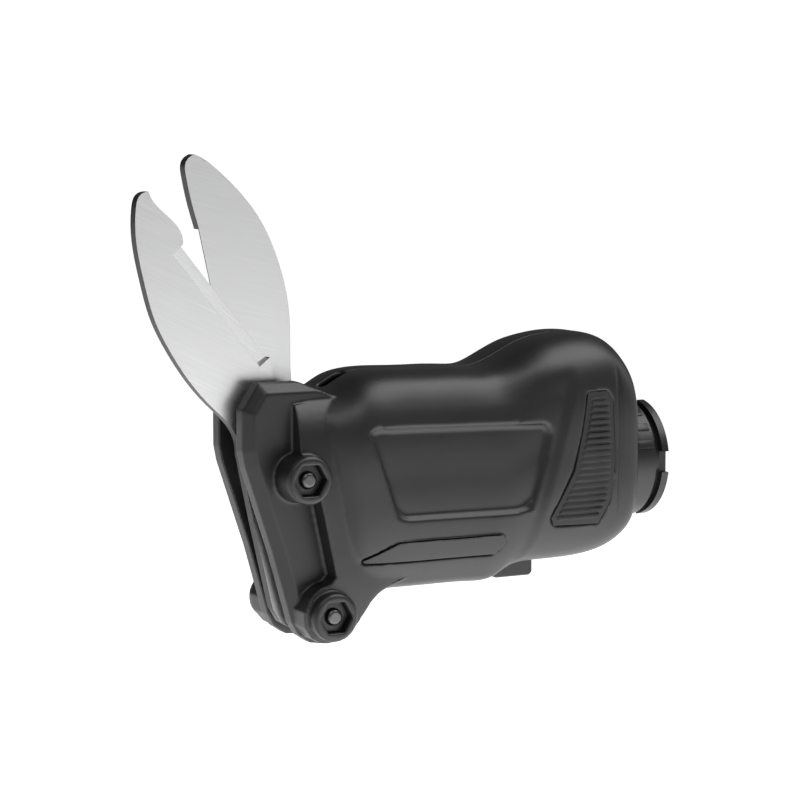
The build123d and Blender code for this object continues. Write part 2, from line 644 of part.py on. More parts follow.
def lower_spacers():
    """Spacers each side of the fixed blade on the lower bolt."""
    bore = BOLT_DIAMETER / 2 + BOLT_CLEARANCE
    x, z = lower_bolt_place()
    near = tube_y(SPACER_DIAMETER / 2, bore, -CHEEK_INNER, -BLADE_THICKNESS, x, z)
    far = tube_y(SPACER_DIAMETER / 2, bore, -BLADE_GAP / 2, CHEEK_INNER, x, z)
    return near, far


# ---------------------------------------------------------------- gears
def tooth_flank(teeth, thickness_change, tip, root):
    """Half of one tooth, as radius and angle pairs from root to tip."""
    pitch = MODULE * teeth / 2
    base = pitch * cos(radians(PRESSURE_ANGLE))
    half = (pi * MODULE / 2 + thickness_change) / (2 * pitch)
    pressure = radians(PRESSURE_ANGLE)
    half += tan(pressure) - pressure
    start = max(base, root)
    steps = 4
    flank = [] if root >= base else [(root, half)]
    for step in range(steps + 1):
        radius = start + (tip - start) * step / steps
        roll = (radius / base) ** 2 - 1
        roll = roll ** 0.5 if roll > 0 else 0.0
        flank.append((radius, half - (roll - atan2(roll, 1.0))))
    return flank


def gear_outline(teeth, thickness_change, tip, root, turn):
    """Closed outline of a toothed wheel, with a tooth centred on the turn angle."""
    flank = tooth_flank(teeth, thickness_change, tip, root)
    points = []
    for tooth in range(teeth):
        middle = radians(turn) + 2 * pi * tooth / teeth
        rising = [(radius, middle - angle) for radius, angle in flank]
        falling = [(radius, middle + angle) for radius, angle in reversed(flank)]
        points += [(radius * cos(a), radius * sin(a)) for radius, a in rising + falling]
    return make_face(Polyline(*points, close=True))


def toothed_bar(outline, x_from, x_to, y=0.0, z=0.0):
    """A toothed outline extruded along X, drawn with its first axis along +Y."""
    plane = Plane(origin=(x_from, y, z), x_dir=(0, 1, 0), z_dir=(1, 0, 0))
    return extrude(plane * outline, amount=x_to - x_from)


def planet_angle(index):
    """Place of a planet round the drive axis, from +Y."""
    return 360.0 * index / PLANETS


def planet_centre(index):
    """Y and z of a planet's axis."""
    angle = radians(planet_angle(index))
    return (GEAR_CENTRES * cos(angle), GEAR_CENTRES * sin(angle))


def sun_gear():
    """Sun gear on the input shaft."""
    pitch = MODULE * SUN_TEETH / 2
    outline = gear_outline(SUN_TEETH, -BACKLASH / 2, pitch + ADDENDUM * MODULE,
                           pitch - DEDENDUM * MODULE, 0.0)
    return toothed_bar(outline, GEAR_FRONT, GEAR_REAR) - rod_x(SUN_BORE / 2, -FAR, FAR)


def planet_gear(index):
    """One planet gear, in mesh with the sun and the ring."""
    pitch = MODULE * PLANET_TEETH / 2
    turn = 180.0 + 180.0 / PLANET_TEETH
    turn += planet_angle(index) * (1 + SUN_TEETH / PLANET_TEETH)
    outline = gear_outline(PLANET_TEETH, -BACKLASH / 2, pitch + ADDENDUM * MODULE,
                           pitch - DEDENDUM * MODULE, turn)
    y, z = planet_centre(index)
    gear = toothed_bar(outline, GEAR_FRONT, GEAR_REAR, y, z)
    bore = PLANET_PIN_DIAMETER / 2 + PLANET_PIN_CLEARANCE
    return gear - rod_x(bore, GEAR_FRONT - 1, GEAR_REAR + 1, y, z)


def ring_gear():
    """Internal ring gear, fixed in the gear case."""
    pitch = MODULE * RING_TEETH / 2
    space = gear_outline(RING_TEETH, BACKLASH / 2, RING_ROOT, pitch - ADDENDUM * MODULE,
                         180.0 / RING_TEETH)
    ring = rod_x(RING_RADIUS, GEAR_FRONT, COVER_FRONT)
    return ring - toothed_bar(space, GEAR_FRONT - 1, COVER_FRONT + 1)


def gear_case():
    """Cup round the planetary stage, with a bore for its bush."""
    cup = rod_x(CASE_RADIUS, CASE_FRONT, COVER_FRONT)
    cup -= rod_x(RING_RADIUS, CASE_FRONT + CASE_END, COVER_FRONT + 1)
    return cup - rod_x(SHAFT_DIAMETER / 2 + BUSH_WALL, -FAR, 0)


def case_cover():
    """Rear cover of the gear case."""
    cover = rod_x(CASE_RADIUS, COVER_FRONT, CASE_REAR)
    return cover - rod_x(SPINDLE_DIAMETER / 2 + THRUST_GAP, COVER_FRONT - 1, CASE_REAR + 1)


# ---------------------------------------------------------------- shafts
def crankshaft():
    """Shaft with the crank disc and its pin, at its lowest with the blades open."""
    shaft = rod_x(SHAFT_DIAMETER / 2, DISC_FRONT, CARRIER_FRONT + CARRIER_THICKNESS)
    disc = rod_x(CRANK_THROW + CRANK_PIN_DIAMETER / 2 + 3.0, DISC_FRONT, DISC_REAR)
    pin = rod_x(CRANK_PIN_DIAMETER / 2, BALL_X - BALL_LENGTH / 2 - PIN_STICKOUT, DISC_REAR,
                z=-CRANK_THROW)
    return shaft + disc + pin


def crank_ball():
    """Ball roller that turns on the crank pin."""
    ball = Pos(BALL_X, 0, -CRANK_THROW) * Sphere(BALL_DIAMETER / 2)
    half = BALL_LENGTH / 2
    ball &= block((BALL_X - half, BALL_X + half), (-FAR, FAR), (-FAR, FAR))
    bore = CRANK_PIN_DIAMETER / 2 + CRANK_PIN_CLEARANCE
    return ball - rod_x(bore, BALL_X - FAR, BALL_X + FAR, z=-CRANK_THROW)


def crank_pin_collar():
    """Retaining collar pressed on the crank pin ahead of the ball."""
    x_to = BALL_X - BALL_LENGTH / 2 - THRUST_GAP
    x_from = x_to - COLLAR_THICKNESS
    collar = rod_x(CRANK_PIN_DIAMETER / 2 + 1.4, x_from, x_to, z=-CRANK_THROW)
    return collar - rod_x(CRANK_PIN_DIAMETER / 2, x_from - 1, x_to + 1, z=-CRANK_THROW)


def crank_spacer():
    """Thin spacer that keeps the ball off the crank disc."""
    x_from = BALL_X + BALL_LENGTH / 2 + THRUST_GAP
    spacer = rod_x(CRANK_PIN_DIAMETER / 2 + 1.0, x_from, DISC_FRONT, z=-CRANK_THROW)
    return spacer - rod_x(CRANK_PIN_DIAMETER / 2, x_from - 1, DISC_FRONT + 1, z=-CRANK_THROW)


def planet_carrier():
    """Carrier plate pressed on the crankshaft's rear end."""
    tip = MODULE * RING_TEETH / 2 - MODULE
    plate = rod_x(tip - 1.0, CARRIER_FRONT, CARRIER_FRONT + CARRIER_THICKNESS)
    plate -= rod_x(SHAFT_DIAMETER / 2, -FAR, 0)
    for index in range(PLANETS):
        plate -= rod_x(PLANET_PIN_DIAMETER / 2, -FAR, 0, *planet_centre(index))
    return plate


def planet_pins():
    """The three planet pins."""
    pins = [rod_x(PLANET_PIN_DIAMETER / 2, CARRIER_FRONT, GEAR_REAR, *planet_centre(index))
            for index in range(PLANETS)]
    return pins[0] + pins[1] + pins[2]


def input_shaft():
    """Input shaft with the hexagonal socket that the power unit's drive enters."""
    socket_front = REAR_BUSH_REAR + THRUST_GAP
    shaft = rod_x(SUN_BORE / 2, GEAR_FRONT, GEAR_REAR)
    shaft += rod_x(SPINDLE_DIAMETER / 2, GEAR_REAR, REAR_BUSH_FRONT - THRUST_GAP)
    shaft += rod_x(JOURNAL_DIAMETER / 2, REAR_BUSH_FRONT - THRUST_GAP, socket_front)
    shaft += rod_x(SOCKET_DIAMETER / 2, socket_front, SOCKET_END)
    hexagon = RegularPolygon(SOCKET_ACROSS_FLATS / 2, 6, major_radius=False)
    plane = Plane(origin=(SOCKET_END - SOCKET_DEPTH, 0, 0), x_dir=(0, 1, 0), z_dir=(1, 0, 0))
    return shaft - extrude(plane * hexagon, amount=SOCKET_DEPTH + 1)


def bush(bore, x_from, x_to, flange_x=None):
    """Plain bush on the drive axis, with a flange in front when flange_x is given."""
    made = rod_x(bore / 2 + BUSH_WALL, x_from, x_to)
    if flange_x is not None:
        made += rod_x(bore / 2 + BUSH_WALL + 2.0, flange_x, x_from)
    return made - rod_x(bore / 2 + RUNNING_CLEARANCE, x_from - FAR, x_to + FAR)


# ---------------------------------------------------------------- coupling
def coupling_spigot():
    """Spigot that the power unit's sleeve slides on and locks to."""
    lugs_from = SPIGOT_COLLAR + SPIGOT_GROOVE
    spigot = rod_x(FLANGE_DIAMETER / 2, REAR_BUSH_FRONT, -WALL)
    spigot += rod_x(NECK_DIAMETER / 2, -WALL, 0)
    spigot += rod_x(SPIGOT_DIAMETER / 2, 0, SPIGOT_COLLAR)
    spigot += rod_x(SPIGOT_GROOVE_DIAMETER / 2, SPIGOT_COLLAR, lugs_from)
    spigot += rod_x(SPIGOT_DIAMETER / 2, lugs_from, SPIGOT_END)
    notch_half = tan(radians(LUG_NOTCH / 2)) * SPIGOT_DIAMETER / 2
    for index in range(LUG_COUNT):
        notch = block((lugs_from, SPIGOT_END + 1), (-notch_half, notch_half),
                      (SPIGOT_GROOVE_DIAMETER / 2, FAR))
        spigot -= Rotation(360.0 / LUG_COUNT * index, 0, 0) * notch
    spigot -= rod_x(SPIGOT_BORE / 2, REAR_BUSH_REAR, SPIGOT_END + 1)
    return spigot - rod_x(JOURNAL_DIAMETER / 2 + BUSH_WALL, REAR_BUSH_FRONT - 1, 0)


# ---------------------------------------------------------------- lock button
def lock_button():
    """Push button under the body, held in by a lip on its inside."""
    side = BUTTON_HALF_WIDTH
    button = block(button_place(), (-side, side), (BUTTON_FACE, lip_floor()))
    toe = button.edges().filter_by(Axis.Y).sort_by(Axis.Z)[:2]
    button = chamfer(toe, 1.2)
    lip = block(button_place(BUTTON_LIP), (-side - BUTTON_LIP, side + BUTTON_LIP),
                (lip_floor(), lip_floor() + LIP_THICKNESS))
    return button + lip


def spring_span():
    """Z from the button's lip to the seat under the gear case."""
    low = lip_floor() + LIP_THICKNESS
    return (low, low + BUTTON_TRAVEL + SPRING_WIRE * (SPRING_TURNS + 1) + 0.6)


def spring_x():
    """Spring axis, ahead of the gear case."""
    return CASE_FRONT - SPRING_DIAMETER


def button_spring():
    """Coil spring between the button and its seat."""
    low, high = spring_span()
    coil_radius = (SPRING_DIAMETER - SPRING_WIRE) / 2
    start = low + SPRING_WIRE / 2
    height = high - low - SPRING_WIRE
    path = Pos(spring_x(), 0, start) * Helix(height / SPRING_TURNS, height, coil_radius)
    profile = Plane(origin=path @ 0, z_dir=path % 0) * Circle(SPRING_WIRE / 2)
    return sweep(profile, path, is_frenet=True)


def spring_seat():
    """Plate over the spring, fixed to the front of the gear case's bulkhead."""
    _, high = spring_span()
    reach = spring_x() - SPRING_DIAMETER / 2 - SEAT_MARGIN
    half = SPRING_DIAMETER / 2 + SEAT_MARGIN
    plate = block((reach, CASE_FRONT + CASE_HOLD), (-half, half), (high, high + SEAT_THICKNESS))
    return plate - rod_x(CASE_RADIUS + RUNNING_CLEARANCE, CASE_FRONT - RUNNING_CLEARANCE, FAR)


# ---------------------------------------------------------------- screws
def housing_screws():
    """Six screws that draw the halves together, with their heads in the far half."""
    made = None
    for x, z in SCREW_PLACES:
        screw = rod_y(SCREW_DIAMETER / 2, -SCREW_DEPTH, SCREW_SEAT, x, z)
        head = rod_y(SCREW_HEAD_DIAMETER / 2, SCREW_SEAT, SCREW_SEAT + SCREW_HEAD_HEIGHT, x, z)
        head = fillet(head.edges().group_by(Axis.Y)[-1], 0.8)
        recess = hex_y(2.6, SCREW_SEAT + 0.8, SCREW_SEAT + FAR, x, z)
        screw += head - recess
        made = screw if made is None else made + screw
    return made


# ---------------------------------------------------------------- the whole part
def build():
    """Every node by name."""
    near_housing, far_housing = housing_halves()
    near_washer, far_washer = pivot_washers()
    near_spacer, far_spacer = lower_spacers()
    pivot = from_pivot((0, 0))
    pad = grip_pad()
    inlay = side_inlay()
    nodes = {
        "near_housing": near_housing,
        "far_housing": far_housing,
        "near_grip_pad": pad,
        "far_grip_pad": mirror(pad, Plane.XZ),
        "near_inlay": inlay,
        "far_inlay": mirror(inlay, Plane.XZ),
        "housing_screws": housing_screws(),
        "fixed_blade": fixed_blade(),
        "moving_blade": moving_blade(),
        "drive_fork": drive_fork(),
        "fork_rivets": fork_rivets(),
        "pivot_bolt": yoke_bolt(*pivot),
        "pivot_nut": yoke_nut(*pivot),
        "pivot_sleeve": pivot_sleeve(),
        "near_pivot_washer": near_washer,
        "far_pivot_washer": far_washer,
        "lower_bolt": yoke_bolt(*lower_bolt_place()),
        "lower_nut": yoke_nut(*lower_bolt_place()),
        "near_lower_spacer": near_spacer,
        "far_lower_spacer": far_spacer,
        "crankshaft": crankshaft(),
        "crank_ball": crank_ball(),
        "crank_pin_collar": crank_pin_collar(),
        "crank_spacer": crank_spacer(),
        "front_bush": bush(SHAFT_DIAMETER, FRONT_BULKHEAD, FRONT_BULKHEAD + BUSH_LENGTH,
                           BUSH_FRONT),
        "case_bush": bush(SHAFT_DIAMETER, CASE_FRONT, CASE_FRONT + CASE_END),
        "rear_bush": bush(JOURNAL_DIAMETER, REAR_BUSH_FRONT, REAR_BUSH_REAR),
        "planet_carrier": planet_carrier(),
        "planet_pins": planet_pins(),
        "ring_gear": ring_gear(),
        "sun_gear": sun_gear(),
        "gear_case": gear_case(),
        "case_cover": case_cover(),
        "input_shaft": input_shaft(),
        "coupling_spigot": coupling_spigot(),
        "lock_button": lock_button(),
        "button_spring": button_spring(),
        "spring_seat": spring_seat(),
    }
    for index in range(PLANETS):
        nodes[f"planet_gear_{index + 1}"] = planet_gear(index)
    return nodes


def main():
    """Write one file for each node and print the joint sizes."""
    os.makedirs("parts", exist_ok=True)
    for name, shape in build().items():
        export_step(shape, f"parts/{name}.step")
    print(f"blade sweep {BLADE_SWEEP:.4f} deg for half a crank turn")


if __name__ == "__main__":
    main()
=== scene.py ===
"""Looks of the powered shear head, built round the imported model.

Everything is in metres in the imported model's own frame: the origin is the centre of the
coupling spigot's seat, +X runs to the rear, +Z is up, and the near side of the body is -Y.
"""

import json
import logging
import math
from dataclasses import dataclass
from enum import Enum
from typing import Any, Callable

import bpy
import numpy as np
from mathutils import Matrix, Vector

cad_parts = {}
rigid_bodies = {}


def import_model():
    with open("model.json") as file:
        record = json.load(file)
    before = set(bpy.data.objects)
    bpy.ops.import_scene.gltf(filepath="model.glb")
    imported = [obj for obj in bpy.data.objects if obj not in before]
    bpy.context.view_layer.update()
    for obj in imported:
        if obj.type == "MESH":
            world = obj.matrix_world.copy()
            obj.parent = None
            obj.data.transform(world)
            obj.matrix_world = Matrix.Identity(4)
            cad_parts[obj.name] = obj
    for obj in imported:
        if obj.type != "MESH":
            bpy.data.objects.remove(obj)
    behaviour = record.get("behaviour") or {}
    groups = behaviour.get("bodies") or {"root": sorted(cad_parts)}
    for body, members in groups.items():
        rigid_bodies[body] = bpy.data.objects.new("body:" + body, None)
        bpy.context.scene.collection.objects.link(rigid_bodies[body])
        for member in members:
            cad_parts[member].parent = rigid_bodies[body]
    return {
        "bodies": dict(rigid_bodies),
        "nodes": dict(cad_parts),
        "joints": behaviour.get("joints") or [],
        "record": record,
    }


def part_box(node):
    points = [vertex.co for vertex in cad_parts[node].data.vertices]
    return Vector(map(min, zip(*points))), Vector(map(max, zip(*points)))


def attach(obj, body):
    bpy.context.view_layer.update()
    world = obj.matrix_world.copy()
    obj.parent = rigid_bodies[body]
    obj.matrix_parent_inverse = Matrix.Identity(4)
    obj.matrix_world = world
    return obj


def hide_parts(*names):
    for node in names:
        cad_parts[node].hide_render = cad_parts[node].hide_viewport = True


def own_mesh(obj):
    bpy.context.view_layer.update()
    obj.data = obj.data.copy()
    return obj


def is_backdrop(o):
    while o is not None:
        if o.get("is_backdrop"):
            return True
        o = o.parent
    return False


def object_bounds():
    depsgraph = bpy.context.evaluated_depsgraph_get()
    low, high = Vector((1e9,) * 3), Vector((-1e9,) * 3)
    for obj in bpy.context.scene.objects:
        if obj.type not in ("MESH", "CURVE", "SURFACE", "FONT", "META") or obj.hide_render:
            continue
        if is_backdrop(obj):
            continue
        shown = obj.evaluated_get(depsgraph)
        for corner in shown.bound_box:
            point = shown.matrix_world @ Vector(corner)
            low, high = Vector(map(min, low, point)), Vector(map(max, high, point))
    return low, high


LOG = logging.getLogger("shear_head")
MM = 0.001


class Side(Enum):
    """Which half of the body a piece belongs to, as the sign of its Y."""

    NEAR = -1
    FAR = 1


# ------------------------------------------------------------------ shader maths
class Wire:
    """A shader socket that takes part in Python expressions."""

    def __init__(self, graph: "Graph", socket: bpy.types.NodeSocket) -> None:
        """Keep the graph that the socket belongs to.

        Args:
            graph: the node graph being made.
            socket: an output socket in it.
        """
        self.graph = graph
        self.socket = socket

    def maths(self, operation: str, *values: Any) -> "Wire":
        """Add a Math node.

        Args:
            operation: the Math node's operation.
            values: its inputs in order.

        Returns:
            The node's result.
        """
        return self.graph.node("ShaderNodeMath", {"operation": operation}, dict(enumerate(values)))

    def __add__(self, other: Any) -> "Wire":
        """Sum."""
        return self.maths("ADD", self, other)

    __radd__ = __add__

    def __sub__(self, other: Any) -> "Wire":
        """Difference."""
        return self.maths("SUBTRACT", self, other)

    def __rsub__(self, other: Any) -> "Wire":
        """Difference the other way round."""
        return self.maths("SUBTRACT", other, self)

    def __mul__(self, other: Any) -> "Wire":
        """Product."""
        return self.maths("MULTIPLY", self, other)

    __rmul__ = __mul__


class Graph:
    """A node graph under construction."""

    def __init__(self, tree: bpy.types.NodeTree) -> None:
        """Keep the node tree.

        Args:
            tree: the tree that nodes are added to.
        """
        self.tree = tree

    def feed(self, socket: bpy.types.NodeSocket, value: Any) -> None:
        """Link a wire to a socket, or set the socket's own value.

        Args:
            socket: the input socket.
            value: a Wire, a number or a tuple.
        """
        if isinstance(value, Wire):
            self.tree.links.new(value.socket, socket)
        else:
            socket.default_value = value

    def node(self, kind: str, settings: dict[str, Any] | None = None,
             inputs: dict[Any, Any] | None = None, output: Any = 0) -> Wire:
        """Add a node.

        Args:
            kind: the node's type.
            settings: properties to set before its sockets are read.
            inputs: socket names or numbers with their values or wires.
            output: name or number of the output to return.

        Returns:
            The chosen output.
        """
        made = self.tree.nodes.new(kind)
        for name, value in (settings or {}).items():
            if name == "stops":
                ramp = made.color_ramp
                while len(ramp.elements) < len(value):
                    ramp.elements.new(1.0)
                for element, (place, colour) in zip(ramp.elements, value):
                    element.position = place
                    element.color = colour
            else:
                setattr(made, name, value)
        for name, value in (inputs or {}).items():
            self.feed(made.inputs[name], value)
        return Wire(self, made.outputs[output])


class Recipe(Graph):
    """A Principled material under construction."""

    def __init__(self, name: str) -> None:
        """Start an empty material.

        Args:
            name: the material's name.
        """
        self.material = bpy.data.materials.new(name)
        self.material.use_nodes = True
        super().__init__(self.material.node_tree)
        self.tree.nodes.clear()
        self.shader = self.tree.nodes.new("ShaderNodeBsdfPrincipled")
        output = self.tree.nodes.new("ShaderNodeOutputMaterial")
        self.tree.links.new(self.shader.outputs["BSDF"], output.inputs["Surface"])

    def place(self, stretch: tuple[float, float, float] = (1.0, 1.0, 1.0),
              turn: tuple[float, float, float] = (0.0, 0.0, 0.0)) -> Wire:
        """Object coordinates, turned and then stretched.

        Args:
            stretch: scale along each axis.
            turn: rotation in radians.

        Returns:
            The coordinate vector.
        """
        here = self.node("ShaderNodeTexCoord", output="Object")
        turned = self.node("ShaderNodeMapping", {"vector_type": "POINT"},
                           {"Vector": here, "Rotation": turn})
        return self.node("ShaderNodeMapping", {"vector_type": "POINT"},
                         {"Vector": turned, "Scale": stretch})

    def noise(self, scale: float, detail: float = 3.0, rough: float = 0.5,
              vector: Wire | None = None) -> Wire:
        """Noise from 0 to 1.

        Args:
            scale: cells a metre.
            detail: how many finer layers are added.
            rough: how strong the finer layers are.
            vector: where it is read, or None for plain Object coordinates.

        Returns:
            The noise value.
        """
        here = vector or self.node("ShaderNodeTexCoord", output="Object")
        return self.node("ShaderNodeTexNoise", None,
                         {"Vector": here, "Scale": scale, "Detail": detail, "Roughness": rough})

    def ramp(self, factor: Wire, low: float, high: float) -> Wire:
        """Stretch a value so that low becomes 0 and high becomes 1, clamped.

        Args:
            factor: the value.
            low: what becomes 0.
            high: what becomes 1.

        Returns:
            The stretched value.
        """
        return self.node("ShaderNodeMapRange", {"clamp": True},
                         {"Value": factor, "From Min": low, "From Max": high})

    def mix(self, factor: Any, first: Any, second: Any) -> Wire:
        """Blend two colours.

        Args:
            factor: share of the second colour.
            first: the colour at 0.
            second: the colour at 1.

        Returns:
            The blended colour.
        """
        return self.node("ShaderNodeMix", {"data_type": "RGBA"},
                         {0: factor, 6: first, 7: second}, output=2)

    def bump(self, height: Wire, depth: float, strength: float = 1.0,
             under: Wire | None = None) -> Wire:
        """Bump from a height map.

        Args:
            height: height from 0 to 1.
            depth: what height 1 is, in metres.
            strength: share of the effect.
            under: an earlier bump's normal.

        Returns:
            The new normal.
        """
        inputs = {"Height": height, "Distance": depth, "Strength": strength}
        if under is not None:
            inputs["Normal"] = under
        return self.node("ShaderNodeBump", None, inputs)

    def finish(self, **sockets: Any) -> bpy.types.Material:
        """Set the shader's sockets.

        Args:
            sockets: values or wires by socket name, with spaces written as underscores.

        Returns:
            The finished material.
        """
        for name, value in sockets.items():
            self.feed(self.shader.inputs[name.replace("_", " ")], value)
        return self.material


def grey(value: float, warm: float = 0.0) -> tuple[float, float, float, float]:
    """A grey, made slightly warmer by a positive second value."""
    return (value * (1 + warm), value, value * (1 - warm), 1.0)


# ------------------------------------------------------------------ finishes
@dataclass(frozen=True)
class Moulded:
    """Moulded plastic with a fine spark-eroded texture and handling marks."""

    name: str
    shade: float = 0.0045
    roughness: float = 0.38
    grain: float = 2600.0           # texture cells a metre
    grain_depth: float = 0.00003    # metres
    specular: float = 0.5

    def make(self) -> bpy.types.Material:
        """Build the material.

        Returns:
            The finished material.
        """
        r = Recipe(self.name)
        cloud = r.noise(28.0, 4.0, 0.6)
        grain = r.noise(self.grain, 2.0, 0.6)
        fine = r.noise(self.grain * 2.7, 1.0, 0.5)
        scuffs = r.ramp(r.noise(9.0, 6.0, 0.7, r.place((9.0, 30.0, 60.0), (0.0, 0.5, 0.0))), 0.68, 0.80)
        colour = r.mix(cloud, grey(self.shade * 0.85), grey(self.shade * 1.2, 0.01))
        colour = r.mix(scuffs * 0.35, colour, grey(self.shade * 2.4))
        rough = self.roughness + (cloud - 0.5) * 0.12 + grain * 0.06 - scuffs * 0.05
        normal = r.bump(fine, self.grain_depth * 0.5, 0.6, r.bump(grain, self.grain_depth, 0.8))
        return r.finish(Base_Color=colour, Roughness=rough, Normal=normal,
                        Specular_IOR_Level=self.specular)


@dataclass(frozen=True)
class Rubber:
    """Soft matt over-moulding."""

    name: str
    shade: float = 0.009
    roughness: float = 0.62

    def make(self) -> bpy.types.Material:
        """Build the material.

        Returns:
            The finished material.
        """
        r = Recipe(self.name)
        bloom = r.noise(60.0, 5.0, 0.65)
        grain = r.noise(4200.0, 2.0, 0.5)
        colour = r.mix(bloom, grey(self.shade * 0.8), grey(self.shade * 1.5, 0.02))
        rough = self.roughness + (bloom - 0.5) * 0.16
        return r.finish(Base_Color=colour, Roughness=rough, Normal=r.bump(grain, 0.00002, 0.7),
                        Specular_IOR_Level=0.4)


@dataclass(frozen=True)
class GroundSteel:
    """Sheet steel with grinding lines across the blade."""

    name: str
    lean: float                 # how far the lines tilt, in radians
    shade: float = 0.74
    roughness: float = 0.29
    line: float = 3400.0        # grinding lines a metre

    def make(self) -> bpy.types.Material:
        """Build the material.

        Returns:
            The finished material.
        """
        r = Recipe(self.name)
        turn = (0.0, -self.lean, 0.0)
        lines = r.noise(1.0, 2.0, 0.6, r.place((34.0, 60.0, self.line), turn))
        broad = r.noise(1.0, 3.0, 0.6, r.place((34.0, 20.0, 1500.0), turn))
        cloud = r.noise(22.0, 3.0, 0.5)
        scratch = r.ramp(r.noise(1.0, 1.0, 0.4, r.place((22.0, 60.0, 1300.0), turn)), 0.68, 0.76)
        colour = r.mix(lines, grey(self.shade * 0.90, -0.006), grey(self.shade * 1.08))
        colour = r.mix(scratch * 0.5, colour, grey(self.shade * 1.22))
        rough = self.roughness + (broad - 0.5) * 0.08 + (cloud - 0.5) * 0.06 + lines * 0.06
        normal = r.bump(broad, 0.000002, 0.5, r.bump(lines, 0.000003, 0.8))
        return r.finish(Base_Color=colour, Roughness=rough, Metallic=1.0, Normal=normal)


@dataclass(frozen=True)
class TurnedSteel:
    """Machined steel with tool marks round the drive axis or across it."""

    name: str
    shade: float = 0.5
    roughness: float = 0.28

    def make(self) -> bpy.types.Material:
        """Build the material.

        Returns:
            The finished material.
        """
        r = Recipe(self.name)
        marks = r.noise(1.0, 2.0, 0.5, r.place((3800.0, 200.0, 200.0)))
        stain = r.noise(140.0, 4.0, 0.6)
        colour = r.mix(stain, grey(self.shade * 0.85), grey(self.shade * 1.1))
        rough = self.roughness + marks * 0.10 + (stain - 0.5) * 0.15
        return r.finish(Base_Color=colour, Roughness=rough, Metallic=1.0,
                        Normal=r.bump(marks, 0.000006, 0.7))


@dataclass(frozen=True)
class BlackenedSteelAndPaintedShade:
    """Blackened steel, with the metal showing faintly where it is rubbed; on the blade rims its
    near-black colour is painted shade.
    """

    name: str
    shade: float = 0.035
    roughness: float = 0.36
    rub: float = 0.35               # how bright the rubbed places get

    def make(self) -> bpy.types.Material:
        """Build the material.

        Returns:
            The finished material.
        """
        r = Recipe(self.name)
        mottle = r.noise(420.0, 4.0, 0.6)
        fine = r.noise(5200.0, 2.0, 0.5)
        worn = r.ramp(r.noise(700.0, 5.0, 0.7), 0.60, 0.78)
        colour = r.mix(mottle, grey(self.shade * 0.7, -0.04), grey(self.shade * 1.35, 0.02))
        colour = r.mix(worn * self.rub, colour, grey(0.30))
        rough = self.roughness + (mottle - 0.5) * 0.2
        return r.finish(Base_Color=colour, Roughness=rough, Metallic=0.85,
                        Normal=r.bump(fine, 0.00001, 0.6))


@dataclass(frozen=True)
class Sintered:
    """Porous sintered or cast metal."""

    name: str
    tint: tuple[float, float, float]
    roughness: float = 0.45
    pores: float = 2600.0           # pores a metre

    def make(self) -> bpy.types.Material:
        """Build the material.

        Returns:
            The finished material.
        """
        r = Recipe(self.name)
        pores = r.ramp(r.noise(self.pores, 3.0, 0.7), 0.35, 0.62)
        stain = r.noise(120.0, 4.0, 0.6)
        dark = tuple(0.72 * part for part in self.tint) + (1.0,)
        colour = r.mix(pores * 0.6 + stain * 0.4, dark, self.tint + (1.0,))
        rough = self.roughness + (1.0 - pores) * 0.2
        return r.finish(Base_Color=colour, Roughness=rough, Metallic=0.95,
                        Normal=r.bump(pores, 0.00002, 0.6))


class Finishes:
    """Every material of the object, made once."""

    def __init__(self) -> None:
        """Make all of them."""
        self.body = Moulded("body_plastic").make()
        self.trim = Moulded("inlay_plastic", shade=0.005, roughness=0.36, grain=3400.0).make()
        self.coupling = Moulded("coupling_plastic", shade=0.0035, roughness=0.34,
                                grain=3600.0).make()
        self.rubber = Rubber("grip_rubber").make()
        self.blade_a = GroundSteel("blade_face_fixed", math.radians(26.0)).make()
        self.blade_b = GroundSteel("blade_face_moving", math.radians(14.0)).make()
        self.bevel_a = GroundSteel("blade_bevel_fixed", math.radians(36.0), shade=0.56,
                                   roughness=0.2, line=5200.0).make()
        self.bevel_b = GroundSteel("blade_bevel_moving", math.radians(12.0), shade=0.56,
                                   roughness=0.2, line=5200.0).make()
        # painted shade: the blades' thickness faces are coloured near-black to stand for their dark
        # edges in shade, with faint rubbed metal
        self.edge_shade_paint = BlackenedSteelAndPaintedShade("blade_painted_shade_rim", shade=0.03, roughness=0.42, rub=0.2).make()
        self.hardware = BlackenedSteelAndPaintedShade("hardware_black").make()
        self.bolt_end = TurnedSteel("bolt_end_steel", shade=0.10, roughness=0.3).make()
        self.steel = TurnedSteel("machined_steel").make()
        self.bronze = Sintered("bush_bronze", (0.50, 0.33, 0.16)).make()
        self.alloy = Sintered("case_alloy", (0.52, 0.53, 0.55), 0.5, 1500.0).make()


